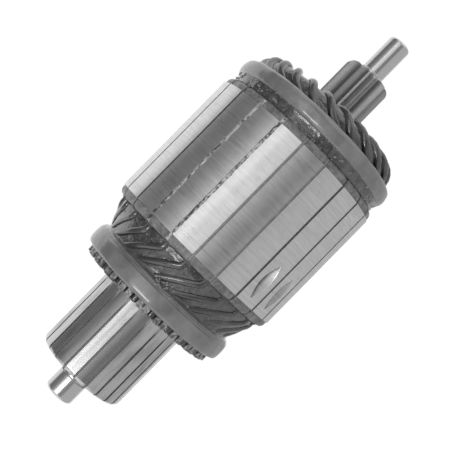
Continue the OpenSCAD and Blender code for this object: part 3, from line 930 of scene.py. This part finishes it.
# %% The winding's crest
crest_window = 1.4
crest_slack = 0.12
winding = [(v.co.x / MM, math.hypot(v.co.y, v.co.z) / MM)
           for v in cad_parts["hairpin_01"].data.vertices]
crest = sorted(p for p in winding
               if p[1] > max(q[1] for q in winding if abs(q[0] - p[0]) < crest_window) - crest_slack)
print("the crest of the winding has", len(crest), "points")


def winding_top(x):
    """Outer radius of the winding at a place, in millimetres."""
    before = max((p for p in crest if p[0] <= x), default=crest[0])
    after = min((p for p in crest if p[0] > x), default=crest[-1])
    share = (x - before[0]) / max(after[0] - before[0], 0.001)
    return before[1] + (after[1] - before[1]) * min(max(share, 0), 1)


def places(start, stop, step=0.4):
    """Places along the shaft, from start to stop, about a step apart."""
    count = max(2, round(abs(stop - start) / step))
    return [start + (stop - start) * i / count for i in range(count + 1)]


# %% [markdown]
# ## How high the varnish stands
# Behind the core it has sunk between the wires and climbs the band and the plate in a fillet. In the
# channel before the drive band it sags between two faces. Between the loops it follows their bend. A
# simulated liquid would find such levels too, but they can be read off the photograph, and a few short
# formulas give them.

# %% Top lines of the pools
pool_sink = 0.75
over_band, band_fade = 0.1, 0.9
over_plate, plate_fade = 0.2, 0.5
channel_r = 28.45
channel_sag = 0.25
channel_step = 0.3
shell_outside, shell_inside = 1.3, 2.5
clear_of_plate = 0.02
under_rear_band, under_drive_band = 1.2, 0.5
bend_length = 5
loop_points = [p[1] for p in winding if p[0] > loop_tip - bend_length]
loop_r = (max(loop_points) + min(loop_points)) / 2
loop_half = (max(loop_points) - min(loop_points)) / 2


def climb(height, distance, fade):
    """How high varnish climbs at a distance from the face that it wets."""
    return height * math.exp(-distance / fade)


def rear_pool_r(x):
    """Level of the varnish behind the core: low between the wires, and up to band and plate."""
    top = winding_top(x)
    from_band = max(x - rear_band_end + over_band, 0)
    at_band = climb(rear_band_r - top + over_band, from_band, band_fade)
    at_plate = climb(over_plate, rear_face - x, plate_fade)
    return top - pool_sink + at_band + at_plate


def channel_pool_r(x):
    """Level of the varnish in the channel, which sags in the middle."""
    share = (x - drive_face) / (drive_band_start - drive_face)
    return channel_r - channel_sag * math.sin(math.pi * share)


def loop_arc(inset, degrees):
    """Points round the bend of the loops, at a depth under their outside."""
    middle_x = loop_tip - loop_half
    r = loop_half - inset
    return [(middle_x + r * math.sin(math.radians(a)), loop_r + r * math.cos(math.radians(a)))
            for a in degrees]


rear_top = [(x, rear_pool_r(x))
            for x in places(rear_band_end - under_rear_band, rear_face - clear_of_plate)]
channel_top = [(x, channel_pool_r(x))
               for x in places(drive_face + clear_of_plate, drive_band_start + under_drive_band,
                               channel_step)]
loop_top = loop_arc(shell_outside, range(-12, 171, 6))
loop_under = loop_arc(shell_inside, range(170, -13, -6))
print("the loops have a half height of", round(loop_half, 2), "mm")

# %% [markdown]
# ## Pools between the wires
# Three rings of varnish hold the winding together. Each could be cut to fit round the wires, but they
# are opaque enough to hide what lies in them. So each is a closed ring that the wires run through, and
# the tree that waved the bands gives it waves as well.

# %% Pools
pool_depth = 1.6
pool_wave_size = 3.5 * MM
pool_lump, pool_lump_size = 0.25 * MM, 1.1 * MM


def layer_below(top, depth):
    """A closed section under a top line: a layer of one depth."""
    return top + [(x, r - depth) for x, r in reversed(top)]


# Each row gives a section, the height of its waves in millimetres and a seed.
POOLS = {
    "rear_pool": (layer_below(rear_top, pool_depth), 0.22, 1.0),
    "channel_pool": (layer_below(channel_top, pool_depth), 0.55, 4.0),
    "loop_pool": (loop_top + loop_under, 0.40, 6.0),
}
for name, (section, wave, seed) in POOLS.items():
    pool = ripples.mesh(turned(section), name, Wave=wave * MM, WaveSize=pool_wave_size,
                        Lump=pool_lump, LumpSize=pool_lump_size, Seed=seed, Finish=FINISHES["pool"])
    add_piece(name, pool)
    print(name, "has", len(pool.polygons), "faces")

# %% [markdown]
# ## A strip of varnish
# Varnish also fills the mouths of the slots, nearly level with the steel, and two of them brim over.
# A finish alone could darken them, but it would not catch the light. So a strip with a crowned face is
# drawn along the slot at the top, over the core and round the plates' edges.

# %% One strip
plate_r = outer_r("rear_plate")
plate_round = 1.7
strip_margin = 0.25
strip_step = 0.3
strip_crown = [(-1, -0.9), (-1, 0), (-0.6, 0.07), (0, 0.1), (0.6, 0.07), (1, 0), (1, -0.9)]


def rim_r(x):
    """Outer radius of core and plates at a place, in millimetres."""
    if abs(x) <= core_end:
        return core_r
    into = max(abs(x) - (drive_face - plate_round), 0)
    return plate_r - plate_round + math.sqrt(max(plate_round ** 2 - into ** 2, 0))


def slot_strip(half_width, rise):
    """A strip along the slot at the top, with a crowned face at a height over the steel."""
    rings = []
    for x in places(rear_face + strip_margin, drive_face - strip_margin, strip_step):
        top = rim_r(x) + rise
        rings.append([Vector((x * MM, -side * half_width * MM, (top + up) * MM))
                      for side, up in strip_crown])
    return skin(rings, False)


print("the plates' rim has a radius of", round(rim_r(drive_face), 2), "mm")

# %% [markdown]
# ## Strips round the shaft
# The strip could be drawn again for every slot, but its place follows a rule: one pitch further each
# time. So a tree copies it round the shaft and then ripples all copies together, which makes each of
# them different. It runs twice, once for all slots and once for the two that brim over.

# %% Copies round the shaft
def copies_shape():
    """A tree that copies a mesh round the shaft and ripples it."""
    s = Shape("copies_round_shaft", Count="Int", First="Float", Pitch="Float", Wave="Float",
              WaveSize="Float", Seed="Float")
    points = s.node("GeometryNodePoints", {}, {"Count": s.input("Count")})
    turn = s.node("GeometryNodeInputIndex") * s.input("Pitch") + s.input("First")
    rotation = s.node("CombineXYZ", {}, {"X": turn})
    copied = s.node("GeometryNodeInstanceOnPoints", {},
                    {"Points": points, "Instance": s.input("Geometry"), "Rotation": rotation})
    real = s.node("GeometryNodeRealizeInstances", {}, {"Geometry": copied})
    return s.finish(s.rippled(real, s.input("Wave"), s.input("WaveSize"), s.input("Seed")))


copies = copies_shape()
# Each row gives the strip, how many slots it fills, the first of them, the height and the size of its
# waves in millimetres, and a seed.
STRIPS = {
    "slot_varnish": (slot_strip(0.36, -0.2), len(hairpins), 0, 0.3, 1.2, 2.0),
    "brimming_varnish": (slot_strip(0.5, 0.02), 2, -2, 0.5, 1.5, 5.0),
}
for name, (strip, count, first, wave, wave_size, seed) in STRIPS.items():
    strips = copies.mesh(strip, name, Count=count, First=math.radians(first * slot_pitch),
                         Pitch=math.radians(slot_pitch), Wave=wave * MM, WaveSize=wave_size * MM,
                         Seed=seed, Finish=FINISHES["slot"])
    add_piece(name, strips)
    print(name, "fills", count, "slots")

# %% [markdown]
# ## Scattered beads
# Where the varnish dripped off it left beads. Placing each by hand would tie them to one view. So a
# tree scatters them over the pools from a fixed seed, half sunk into what they sit on, and once more,
# much closer together, over the patch at the rear band's edge where most of them gathered.

# %% Beads
smallest, largest = 0.35, 1.3


def bead_shape():
    """A tree that scatters beads of different sizes over a surface."""
    s = Shape("scattered_beads", Density="Float", Radius="Float", Seed="Int")
    points = s.node("GeometryNodeDistributePointsOnFaces", {},
                    {"Mesh": s.input("Geometry"), "Density": s.input("Density"),
                     "Seed": s.input("Seed")})
    bead = s.node("GeometryNodeMeshIcoSphere", {}, {"Radius": s.input("Radius"), "Subdivisions": 2})
    size = s.node("FunctionNodeRandomValue", {"data_type": "FLOAT"},
                  {2: smallest, 3: largest, "Seed": s.input("Seed")}, output=1)
    scattered = s.node("GeometryNodeInstanceOnPoints", {},
                       {"Points": points, "Instance": bead, "Scale": size})
    return s.finish(s.node("GeometryNodeSetShadeSmooth", {}, {"Geometry": scattered}))


thin = 0.05
clear_of_band = 0.7
open_top = [point for point in rear_top if point[0] > rear_band_end + clear_of_band]
patch_start, patch_stop = rear_band_end - 0.6, rear_band_end + 1.6
patch = [(x, rear_pool_r(x)) for x in (patch_start, patch_stop)]
loop_skin = loop_top + [(x - thin, r) for x, r in reversed(loop_top)]
beads = bead_shape()
# Each row gives the surface, the beads on a square metre, their radius in millimetres and a seed.
SCATTERS = {
    "rear_beads": (turned(layer_below(open_top, thin)), 2.2e4, 0.30, 3),
    "channel_beads": (turned(layer_below(channel_top, thin)), 9e4, 0.42, 7),
    "loop_beads": (turned(loop_skin), 2.5e4, 0.30, 2),
    "band_edge_beads": (turned(layer_below(patch, thin), start=-6, stop=9, steps=20), 8e5, 0.40, 5),
}
for name, (surface, density, radius, seed) in SCATTERS.items():
    mesh = beads.mesh(surface, name, Density=density, Radius=radius * MM, Seed=seed,
                      Finish=FINISHES["bead"])
    add_piece(name, mesh)
    print(name, "has", len(mesh.polygons), "faces")
